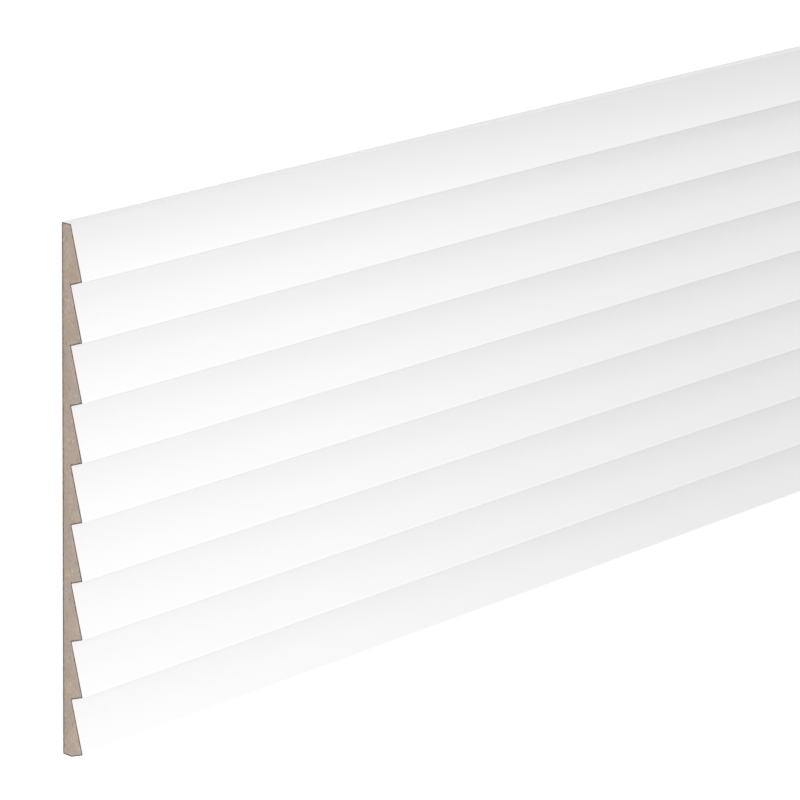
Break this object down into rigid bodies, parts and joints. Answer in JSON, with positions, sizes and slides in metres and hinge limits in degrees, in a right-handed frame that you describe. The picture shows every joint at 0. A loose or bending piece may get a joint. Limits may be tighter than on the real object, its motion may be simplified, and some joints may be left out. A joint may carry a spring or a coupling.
{
  "type": "wall panel",
  "caption": "Flat-backed fibreboard wall panel whose face is a sawtooth row of tilted slats with raked butts, white coated, with raw cut ends.",
  "frame": {"origin": "middle of the flat back", "axes": "+X along the slats, +Y up the panel as it hangs on a wall, +Z out of the back"},
  "size_m": [2, 0.24, 0.012],
  "materials": {
    "coated_fibreboard": "white satin coat on the slats and long edges; raw brown fibreboard at the cut ends and on the back"
  },
  "bodies": {
    "root": {"wall_panel": "coated_fibreboard"}
  },
  "joints": []
}
